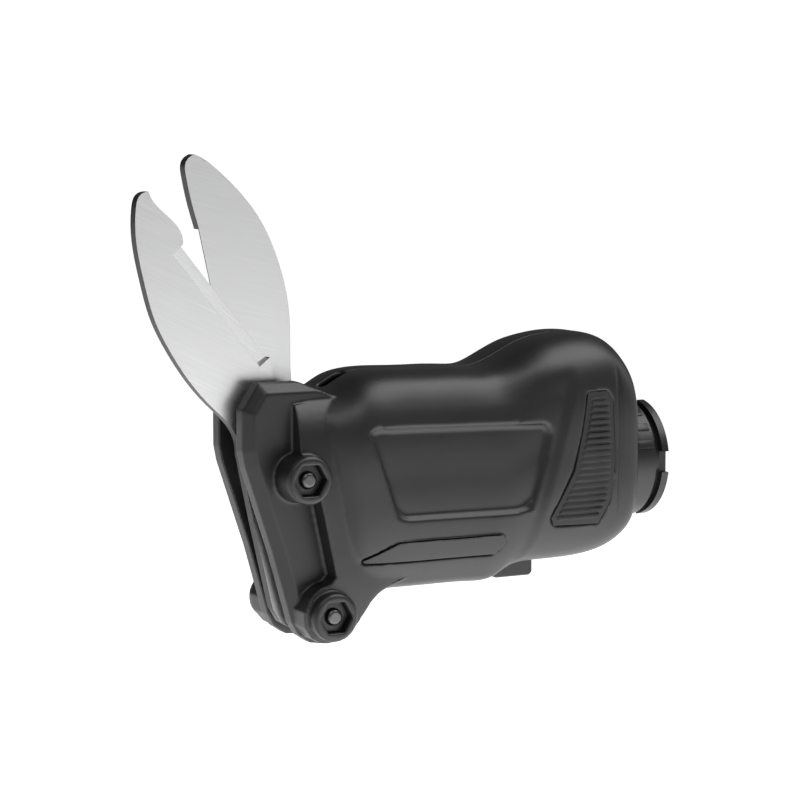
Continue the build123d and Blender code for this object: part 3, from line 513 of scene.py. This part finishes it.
# ------------------------------------------------------------------ modelling moves
class Bench:
    """Modelling moves that every sub-assembly shares."""

    WELD: float = 0.000002                     # points nearer than this, in metres, are one
    FLAT: float = math.radians(0.4)            # faces that turn less than this are one
    CORNER: float = math.radians(34.0)         # an edge that turns more than this is broken
    CREASE: float = math.radians(32.0)         # an edge that turns more than this shades sharp
    MOST_TRIANGLES: int = 190000             # of one piece
    WEIGHT_STEPS: int = 10

    def __init__(self, frame: dict[str, Any]) -> None:
        """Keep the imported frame.
        """
        self.nodes = frame["nodes"]

    @staticmethod
    def take(piece: bpy.types.Object) -> bpy.types.Object:
        """Select one object only and make it active.

        Args:
            piece: the object.

        Returns:
            The same object.
        """
        bpy.ops.object.select_all(action="DESELECT")
        piece.select_set(True)
        bpy.context.view_layer.objects.active = piece
        return piece

    def copy_of(self, node: str, name: str) -> bpy.types.Object:
        """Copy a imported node's shape and weld its triangles.

        Args:
            node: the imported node.
            name: the new piece's name.

        Returns:
            The welded copy.
        """
        piece = bpy.data.objects.new(name, self.nodes[node].data.copy())
        bpy.context.scene.collection.objects.link(piece)
        piece.data.materials.clear()
        piece.data.name = name
        self.take(piece)
        bpy.ops.object.mode_set(mode="EDIT")
        bpy.ops.mesh.select_all(action="SELECT")
        bpy.ops.mesh.remove_doubles(threshold=self.WELD)
        bpy.ops.object.mode_set(mode="OBJECT")
        bpy.ops.mesh.customdata_custom_splitnormals_clear()
        return piece

    def modify(self, piece: bpy.types.Object, kind: str, **settings: Any) -> None:
        """Add a modifier and apply it.

        Args:
            piece: the piece to change.
            kind: the modifier's type.
            settings: the modifier's properties.
        """
        self.take(piece)
        modifier = piece.modifiers.new(kind.lower(), kind)
        for name, value in settings.items():
            setattr(modifier, name, value)
        bpy.ops.object.modifier_apply(modifier=modifier.name)

    def crisp(self, node: str, name: str, width: float = 0.25 * MM,
              segments: int = 2) -> bpy.types.Object:
        """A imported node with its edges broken, as machined parts have them.

        Args:
            node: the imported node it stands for.
            name: the new piece's name.
            width: the width of the broken edge.
            segments: how many faces round the edge.

        Returns:
            The finished shape.
        """
        piece = self.copy_of(node, name)
        bpy.ops.object.mode_set(mode="EDIT")
        bpy.ops.mesh.select_all(action="SELECT")
        bpy.ops.mesh.dissolve_limited(angle_limit=self.FLAT)
        bpy.ops.object.mode_set(mode="OBJECT")
        self.modify(piece, "BEVEL", width=width, segments=segments, limit_method="ANGLE",
                    angle_limit=self.CORNER, use_clamp_overlap=True)
        bpy.ops.object.shade_smooth_by_angle(angle=self.CREASE)
        self.modify(piece, "WEIGHTED_NORMAL", weight=80, keep_sharp=True)
        return piece

    def soft(self, node: str, name: str, voxel: float, rounds: int,
             sculpt: Callable[[np.ndarray, np.ndarray], np.ndarray] | None = None,
             ease: Callable[[np.ndarray], np.ndarray] | None = None) -> bpy.types.Object:
        """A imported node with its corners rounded, as a moulding has them.

        Args:
            node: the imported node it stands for.
            name: the new piece's name.
            voxel: remeshing size.
            rounds: how many times the surface is smoothed.
            sculpt: gives how far each point moves from points and normals.
            ease: gives from 0 to 1 how much of the smoothing each point gets.

        Returns:
            The finished shape.
        """
        piece = self.copy_of(node, name)
        piece.data.remesh_voxel_size = voxel
        piece.data.remesh_voxel_adaptivity = 0.0
        bpy.ops.object.voxel_remesh()
        self.modify(piece, "SMOOTH", factor=0.5, iterations=2)
        if ease is not None:
            self.weigh(piece, "eased", ease)
            self.modify(piece, "SMOOTH", factor=0.5, iterations=rounds, vertex_group="eased")
        else:
            self.modify(piece, "SMOOTH", factor=0.5, iterations=rounds)
        if sculpt is not None:
            self.push(piece, sculpt)
        triangles = 2 * len(piece.data.polygons)
        if triangles > self.MOST_TRIANGLES:
            self.modify(piece, "DECIMATE", ratio=self.MOST_TRIANGLES / triangles)
        bpy.ops.object.shade_smooth()
        return piece

    @staticmethod
    def spots(piece: bpy.types.Object, field: str) -> np.ndarray:
        """Read every point's place or normal.

        Args:
            piece: the mesh.
            field: co for places, normal for normals.

        Returns:
            One row for each point.
        """
        values = np.empty(len(piece.data.vertices) * 3)
        piece.data.vertices.foreach_get(field, values)
        return values.reshape(-1, 3)

    def weigh(self, piece: bpy.types.Object, name: str,
              ease: Callable[[np.ndarray], np.ndarray]) -> None:
        """Give every point a weight, in even steps.

        Args:
            piece: the mesh.
            name: the vertex group's name.
            ease: gives weights from 0 to 1 from points.
        """
        group = piece.vertex_groups.new(name=name)
        steps = np.round(ease(self.spots(piece, "co")) * self.WEIGHT_STEPS).astype(int)
        for step in range(1, self.WEIGHT_STEPS + 1):
            group.add(np.nonzero(steps == step)[0].tolist(), step / self.WEIGHT_STEPS, "REPLACE")

    def push(self, piece: bpy.types.Object,
             sculpt: Callable[[np.ndarray, np.ndarray], np.ndarray]) -> None:
        """Move every point of a mesh by what a sculpting function gives.

        Args:
            piece: the mesh to sculpt.
            sculpt: gives an offset for each point from points and normals.
        """
        points = self.spots(piece, "co")
        moved = points + sculpt(points, self.spots(piece, "normal"))
        piece.data.vertices.foreach_set("co", moved.ravel())
        piece.data.update()

    def settle(self, piece: bpy.types.Object, body: str, slot: str,
               materials: list[bpy.types.Material], *nodes: str) -> bpy.types.Object:
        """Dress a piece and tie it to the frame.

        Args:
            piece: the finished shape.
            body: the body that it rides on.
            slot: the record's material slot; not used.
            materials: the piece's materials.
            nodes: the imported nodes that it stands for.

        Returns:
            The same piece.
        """
        if not piece.data.materials:
            for material in materials:
                piece.data.materials.append(material)
        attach(piece, body)
        if nodes:
            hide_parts(*nodes)
        LOG.info("%s: %d faces on %s", piece.name, len(piece.data.polygons), body)
        return piece

    def dress(self, names: list[str], material: bpy.types.Material) -> None:
        """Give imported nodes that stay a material.

        Args:
            names: the nodes.
            material: their finish.
        """
        for name in names:
            node = self.nodes[name]
            node.data.materials.clear()
            node.data.materials.append(material)
            LOG.info("%s keeps its packed shape", name)


def smooth(value: np.ndarray, low: float, high: float) -> np.ndarray:
    """Rise smoothly from 0 at low to 1 at high."""
    share = np.clip((value - low) / (high - low), 0.0, 1.0)
    return share * share * (3 - 2 * share)


def pivot_point() -> Vector:
    """Centre of the blade pivot, which side-view outlines are measured from."""
    low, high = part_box("pivot_sleeve")
    return (low + high) / 2


def depth_inside(x: np.ndarray, z: np.ndarray, outline: tuple[tuple[float, float], ...],
                 corner: float) -> np.ndarray:
    """How far points lie inside a convex side-view outline with rounded corners.

    Args:
        x: places along the body.
        z: heights.
        outline: corners in metres, going clockwise as the near side is seen.
        corner: how softly two sides run into each other.

    Returns:
        The distance inside each point, negative outside.
    """
    total = np.zeros_like(x)
    for (ax, az), (bx, bz) in zip(outline, outline[1:] + outline[:1]):
        length = math.hypot(bx - ax, bz - az)
        inside = ((x - ax) * (bz - az) - (z - az) * (bx - ax)) / length
        total += np.exp(-np.clip(inside, -0.03, 0.03) / corner)
    return -corner * np.log(total)


# ------------------------------------------------------------------ sub-assemblies
@dataclass
class Housing:
    """The two moulded halves, with their soft shapes sculpted in."""

    bench: Bench
    finishes: Finishes
    voxel: float = 0.74 * MM
    rounds: int = 9
    panel: tuple[tuple[float, float], ...] = (
        (23.6, 17.6), (102.2, 15.8), (94.6, -17.9), (35.2, -17.6))   # mm from the blade pivot
    panel_depth: float = 1.1 * MM
    panel_roll: float = 2.4 * MM
    panel_corner: float = 1.0 * MM
    channel: float = 0.8 * MM        # depth of the soft groove behind the grip pad
    channel_gap: float = 2.6 * MM    # from the pad's rear edge to the groove's middle
    channel_half: float = 1.6 * MM   # half of its width
    channel_rise: float = 12.0 * MM  # over which it sets in, from the pad's foot up
    swell: float = 1.3 * MM          # rear collar above the middle of the body
    swell_width: float = 5.0 * MM
    swell_lean: float = 0.52         # lean of its front edge, as a share of the pad's length
    swell_margin: float = 3.4 * MM   # from its front edge to the pad
    side_start: float = 15.0 * MM    # only the outside of the body is sculpted
    side_fade: float = 8.0 * MM
    side_slope: tuple[float, float] = (0.35, 0.85)              # how square to Y, none to full
    top_fade: tuple[float, float] = (-2.0 * MM, 12.0 * MM)      # from the pad's top, full to none
    front_fade: tuple[float, float] = (-22.0 * MM, 4.0 * MM)    # from the bush, none to full
    crisp_share: float = 0.05        # share of the rounding that the yoke's edges get
    yoke_fade: tuple[float, float] = (10.0 * MM, 20.0 * MM)     # behind the pivot, crisp to round
    boss_reach: float = 9.0 * MM     # how much further back the lower boss stays crisp
    boss_fade: tuple[float, float] = (34.0 * MM, 42.0 * MM)     # under the pivot

    def sculpt(self, points: np.ndarray, normals: np.ndarray) -> np.ndarray:
        """Sink the middle of each side so that the rear collar stands proud of it.

        Args:
            points: every point's place.
            normals: every point's normal.

        Returns:
            How far each point moves.
        """
        x, y, z = points.T
        pad_low, pad_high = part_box("near_grip_pad")
        bush_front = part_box("front_bush")[0].x
        lean = (pad_high.x - pad_low.x) * self.swell_lean / (pad_high.z - pad_low.z)
        line = pad_low.x - self.swell_margin + (z - pad_low.z) * lean
        behind = smooth(x - line, -self.swell_width, 0.0)
        outside = smooth(np.abs(y), self.side_start, self.side_start + self.side_fade)
        flat = smooth(np.abs(normals[:, 1]), *self.side_slope)
        below = 1.0 - smooth(z, pad_high.z + self.top_fade[0], pad_high.z + self.top_fade[1])
        front = smooth(x, bush_front + self.front_fade[0], bush_front + self.front_fade[1])
        amount = self.swell * (1.0 - behind) * outside * flat * below * front
        amount += self.sink_panel(x, z) * outside * flat
        gap = np.abs(x - pad_high.x - self.channel_gap) / self.channel_half
        tall = smooth(z, pad_low.z, pad_low.z + self.channel_rise) * below
        amount += self.channel * (1.0 - smooth(gap, 0.0, 1.0)) * tall * outside
        offset = np.zeros_like(points)
        offset[:, 1] = -np.sign(y) * amount
        return offset

    def sink_panel(self, x: np.ndarray, z: np.ndarray) -> np.ndarray:
        """Work out the soft rolled step round the side panel.

        Args:
            x: places along the body.
            z: heights.

        Returns:
            The step's depth at each point.
        """
        pivot = pivot_point()
        corners = tuple((pivot.x + px * MM, pivot.z + pz * MM) for px, pz in self.panel)
        inside = depth_inside(x, z, corners, self.panel_corner)
        return self.panel_depth * smooth(inside, 0.0, self.panel_roll)

    def ease(self, points: np.ndarray) -> np.ndarray:
        """Keep the yoke's edges crisp and roll the body's over.

        Args:
            points: every point's place.

        Returns:
            The share of the rounding that each point gets.
        """
        pivot = pivot_point()
        low = self.boss_reach * smooth(pivot.z - points[:, 2], *self.boss_fade)
        rounded = smooth(points[:, 0] - pivot.x - low, *self.yoke_fade)
        return self.crisp_share + (1.0 - self.crisp_share) * rounded

    def half(self, side: Side) -> None:
        """Build one half.

        Args:
            side: near or far.
        """
        word = side.name.lower()
        shell = self.bench.soft(f"{word}_housing", f"{word}_shell", self.voxel, self.rounds,
                                self.sculpt, self.ease)
        self.bench.settle(shell, "housing", "housing_plastic", [self.finishes.body],
                          f"{word}_housing")

    def build(self) -> None:
        """Build both halves."""
        for side in Side:
            self.half(side)


@dataclass
class Trim:
    """Grip pads and inlay strips."""

    bench: Bench
    finishes: Finishes
    pad_voxel: float = 0.34 * MM
    pad_rounds: int = 2
    inlay_voxel: float = 0.36 * MM
    inlay_rounds: int = 8
    gap: float = 0.6 * MM           # open joint round the inlay
    rim_slope: tuple[float, float] = (0.45, 0.95)   # how square to Y, rim to face

    def shrink(self, points: np.ndarray, normals: np.ndarray) -> np.ndarray:
        """Draw the inlay's rim in so that a joint shows all round it.

        Args:
            points: every point's place, which doesn't matter here.
            normals: every point's normal.

        Returns:
            How far each point moves.
        """
        rim = 1.0 - smooth(np.abs(normals[:, 1]), *self.rim_slope)
        return -normals * (self.gap * rim)[:, None]

    def build(self) -> None:
        """Build the trim on both sides."""
        for side in Side:
            word = side.name.lower()
            pad = self.bench.soft(f"{word}_grip_pad", f"{word}_pad", self.pad_voxel,
                                  self.pad_rounds)
            self.bench.settle(pad, "housing", "grip_rubber", [self.finishes.rubber],
                              f"{word}_grip_pad")
            inlay = self.bench.soft(f"{word}_inlay", f"{word}_strip", self.inlay_voxel,
                                    self.inlay_rounds, self.shrink)
            self.bench.settle(inlay, "housing", "inlay_plastic", [self.finishes.trim],
                              f"{word}_inlay")


@dataclass
class Blades:
    """The two blades: ground faces, bright bevels and near-black rims that are painted shade."""

    bench: Bench
    finishes: Finishes
    edge_break: float = 0.22 * MM
    face_limit: float = 0.985        # a face square to Y, as a share of its normal
    bevel_limit: float = 0.76
    bevel_area: float = 2e-6         # a smaller face is rim, in square metres

    def paint(self, piece: bpy.types.Object) -> None:
        """Give each face its finish by the way it looks.

        Args:
            piece: a blade with face, bevel and painted-shade rim materials in that order.
        """
        for face in piece.data.polygons:
            square = abs(face.normal.y)
            if square > self.face_limit:
                face.material_index = 0
            elif square > self.bevel_limit and face.area > self.bevel_area:
                face.material_index = 1
            else:
                face.material_index = 2

    def build(self) -> None:
        """Build both blades."""
        for node, name, body, materials in (
                ("fixed_blade", "front_blade", "housing",
                 [self.finishes.blade_a, self.finishes.bevel_a, self.finishes.edge_shade_paint]),
                ("moving_blade", "rear_blade", "blade",
                 [self.finishes.blade_b, self.finishes.bevel_b, self.finishes.edge_shade_paint])):
            piece = self.bench.crisp(node, name, self.edge_break)
            for material in materials:
                piece.data.materials.append(material)
            self.paint(piece)
            self.bench.settle(piece, body, "blade_steel", materials, node)


@dataclass
class YokeHardware:
    """Bolts, nuts, washers and spacers in the yoke."""

    bench: Bench
    finishes: Finishes
    bolt_edge: float = 0.3 * MM
    nut_edge: float = 0.35 * MM

    def build(self) -> None:
        """Break the edges of what can be seen and dress the rest."""
        for node in ("pivot_bolt", "lower_bolt"):
            piece = self.bench.crisp(node, f"{node}_piece", self.bolt_edge)
            self.bench.settle(piece, "housing", "black_steel", [self.finishes.bolt_end], node)
        for node in ("pivot_nut", "lower_nut"):
            piece = self.bench.crisp(node, f"{node}_piece", self.nut_edge)
            self.bench.settle(piece, "housing", "black_steel", [self.finishes.hardware], node)
        self.bench.dress(["pivot_sleeve", "near_pivot_washer", "far_pivot_washer",
                          "near_lower_spacer", "far_lower_spacer"], self.finishes.steel)
        self.bench.dress(["housing_screws"], self.finishes.hardware)


@dataclass
class Mechanism:
    """Gears, shafts, bushes and the crank inside the body."""

    bench: Bench
    finishes: Finishes
    button_travel: float = 3.0 * MM
    coil_crease: float = 50.0        # degrees

    def spring(self) -> None:
        """Build the button's coil spring."""
        coil = self.bench.copy_of("button_spring", "coil")
        bpy.ops.object.shade_smooth_by_angle(angle=math.radians(self.coil_crease))
        self.bench.settle(coil, "housing", "machined_steel", [self.finishes.steel],
                          "button_spring")
        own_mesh(coil)

    def build(self) -> None:
        """Dress every inner piece."""
        steel = ["drive_fork", "fork_rivets", "crankshaft", "crank_ball", "crank_pin_collar",
                 "crank_spacer", "planet_carrier", "planet_pins", "ring_gear", "sun_gear",
                 "planet_gear_1", "planet_gear_2", "planet_gear_3", "input_shaft"]
        self.bench.dress(steel, self.finishes.steel)
        self.spring()
        self.bench.dress(["front_bush", "case_bush", "rear_bush"], self.finishes.bronze)
        self.bench.dress(["gear_case", "case_cover"], self.finishes.alloy)
        self.bench.dress(["spring_seat"], self.finishes.body)


@dataclass
class Rear:
    """Coupling spigot and lock button."""

    bench: Bench
    finishes: Finishes
    rib_angles: tuple[float, ...] = (-72.0, -54.0, -36.0, -18.0, 0.0, 18.0, 36.0, 54.0, 72.0)
    rib_half_width: float = 1.6 * MM
    rib_depth: float = 1.6 * MM
    rib_proud: float = 0.55 * MM     # above the collar
    rib_inset: float = 0.9 * MM
    rib_length: float = 7.0 * MM
    rib_corner: float = 0.35 * MM
    rib_crease: float = 40.0         # degrees
    spigot_edge: float = 0.4 * MM
    button_edge: float = 0.7 * MM
    edge_faces: int = 3

    def rib(self, angle: float, number: int) -> None:
        """Model one raised rib along the spigot's collar, with its corners broken.

        Args:
            angle: where it stands round the collar from straight up, in degrees.
            number: its place in the row.
        """
        low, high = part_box("coupling_spigot")
        radius = (high.z - low.z) / 2
        bpy.ops.object.select_all(action="DESELECT")
        bpy.ops.mesh.primitive_cube_add(size=1.0, location=(0.0, 0.0, 0.0))
        piece = bpy.context.active_object
        piece.name = f"spigot_rib_{number}"
        bpy.ops.object.mode_set(mode="EDIT")
        bpy.ops.transform.resize(value=(self.rib_length, 2 * self.rib_half_width, self.rib_depth),
                                 center_override=(0.0, 0.0, 0.0))
        bpy.ops.transform.translate(value=(self.rib_length / 2 + self.rib_inset, 0.0,
                                           radius + self.rib_proud - self.rib_depth / 2))
        bpy.ops.transform.rotate(value=math.radians(-angle), orient_axis="X",
                                 center_override=(0.0, 0.0, 0.0))
        bpy.ops.mesh.select_all(action="SELECT")
        bpy.ops.mesh.bevel(offset=self.rib_corner, segments=2, affect="EDGES")
        bpy.ops.object.mode_set(mode="OBJECT")
        bpy.ops.object.shade_smooth_by_angle(angle=math.radians(self.rib_crease))
        self.bench.settle(piece, "housing", "coupling_plastic", [self.finishes.coupling])

    def build(self) -> None:
        """Build both, and the collar's ribs."""
        spigot = self.bench.crisp("coupling_spigot", "spigot", self.spigot_edge, self.edge_faces)
        self.bench.settle(spigot, "housing", "coupling_plastic", [self.finishes.coupling],
                          "coupling_spigot")
        button = self.bench.crisp("lock_button", "button", self.button_edge, self.edge_faces)
        self.bench.settle(button, "button", "housing_plastic", [self.finishes.body],
                          "lock_button")
        for number, angle in enumerate(self.rib_angles):
            self.rib(angle, number)


# ------------------------------------------------------------------ studio
@dataclass(frozen=True)
class Lamp:
    """A square soft light that faces the object."""

    name: str
    away: tuple[float, float, float]    # from the camera's aim, in metres
    size: float                         # its side, in metres
    power: float                        # watts


@dataclass
class Studio:
    """Pale floor, soft lights and the camera."""

    azimuth: float = -28.0
    elevation: float = 6.0
    distance: float = 1.036
    lens: float = 126.0
    sensor: float = 36.0
    aim: tuple[float, float, float] = (-0.1015, -0.0189, 0.0295)
    floor_drop: float = 0.16
    floor_size: float = 30.0
    glow: float = 0.93               # light of the floor's own, which keeps it pale
    backdrop: float = 1.05           # what the camera sees behind the object
    fill: float = 0.12               # what the object gets from all round
    lamps: tuple[Lamp, ...] = (
        Lamp("top", (0.52, -0.32, 0.95), 0.95, 11.5),
        Lamp("front", (-0.45, -0.75, 0.85), 0.5, 3.2),
        Lamp("under", (0.05, -0.12, -0.19), 0.34, 0.42),
        Lamp("rear", (1.22, -0.05, 0.40), 0.55, 1.15),
        Lamp("left", (-1.15, -0.10, 0.20), 0.5, 1.1))

    def camera(self) -> None:
        """Place the camera."""
        a, e = math.radians(self.azimuth), math.radians(self.elevation)
        back = Vector((math.sin(a) * math.cos(e), -math.cos(a) * math.cos(e), math.sin(e)))
        data = bpy.data.cameras.new("camera")
        data.lens = self.lens
        data.sensor_width = self.sensor
        camera = bpy.data.objects.new("camera", data)
        bpy.context.scene.collection.objects.link(camera)
        camera.location = Vector(self.aim) + back * self.distance
        camera.rotation_mode = "QUATERNION"
        camera.rotation_quaternion = back.to_track_quat("Z", "Y")
        bpy.context.scene.camera = camera

    def light(self, lamp: Lamp) -> None:
        """Add a light.

        Args:
            lamp: what it is and where it stands.
        """
        data = bpy.data.lights.new(lamp.name, "AREA")
        data.size = lamp.size
        data.energy = lamp.power
        light = bpy.data.objects.new(lamp.name, data)
        light.visible_camera = False
        bpy.context.scene.collection.objects.link(light)
        light.location = Vector(self.aim) + Vector(lamp.away)
        light.rotation_mode = "QUATERNION"
        light.rotation_quaternion = Vector(lamp.away).to_track_quat("Z", "Y")

    def floor(self, low: Vector) -> None:
        """Lay a plain pale floor under the object.

        Args:
            low: the object's lowest corner.
        """
        bpy.ops.object.select_all(action="DESELECT")
        bpy.ops.mesh.primitive_plane_add(size=self.floor_size,
                                         location=(0.0, 0.0, low.z - self.floor_drop))
        floor = bpy.context.active_object
        floor.name = "floor"
        r = Recipe("floor_paper")
        tone = r.noise(3.0, 2.0, 0.5)
        floor.data.materials.append(r.finish(
            Base_Color=r.mix(tone, grey(0.90), grey(0.93)), Roughness=0.85,
            Emission_Color=grey(1.0), Emission_Strength=self.glow))
        floor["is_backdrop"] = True

    def surroundings(self) -> None:
        """Give the world a bright backdrop and a weak fill light."""
        world = bpy.data.worlds.new("studio")
        bpy.context.scene.world = world
        world.use_nodes = True
        graph = Graph(world.node_tree)
        seen = graph.node("ShaderNodeLightPath", output="Is Camera Ray")
        strength = graph.node("ShaderNodeMapRange", None, {
            "Value": seen, "To Min": self.fill, "To Max": self.backdrop})
        background = world.node_tree.nodes["Background"]
        graph.feed(background.inputs["Color"], grey(1.0))
        graph.feed(background.inputs["Strength"], strength)

    def build(self, low: Vector) -> None:
        """Set up the whole studio.

        Args:
            low: the object's lowest corner.
        """
        self.camera()
        self.floor(low)
        for lamp in self.lamps:
            self.light(lamp)
        self.surroundings()
        bpy.context.scene.view_settings.view_transform = "Standard"


def main() -> None:
    """Build every sub-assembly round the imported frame."""
    logging.basicConfig(level=logging.INFO, format="%(message)s")
    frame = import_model()
    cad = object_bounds()
    bench = Bench(frame)
    finishes = Finishes()
    Studio().build(cad[0])
    for assembly in (Housing, Trim, Blades, YokeHardware, Mechanism, Rear):
        assembly(bench, finishes).build()
        LOG.info("%s done", assembly.__name__)


if __name__ == "__main__":
    main()
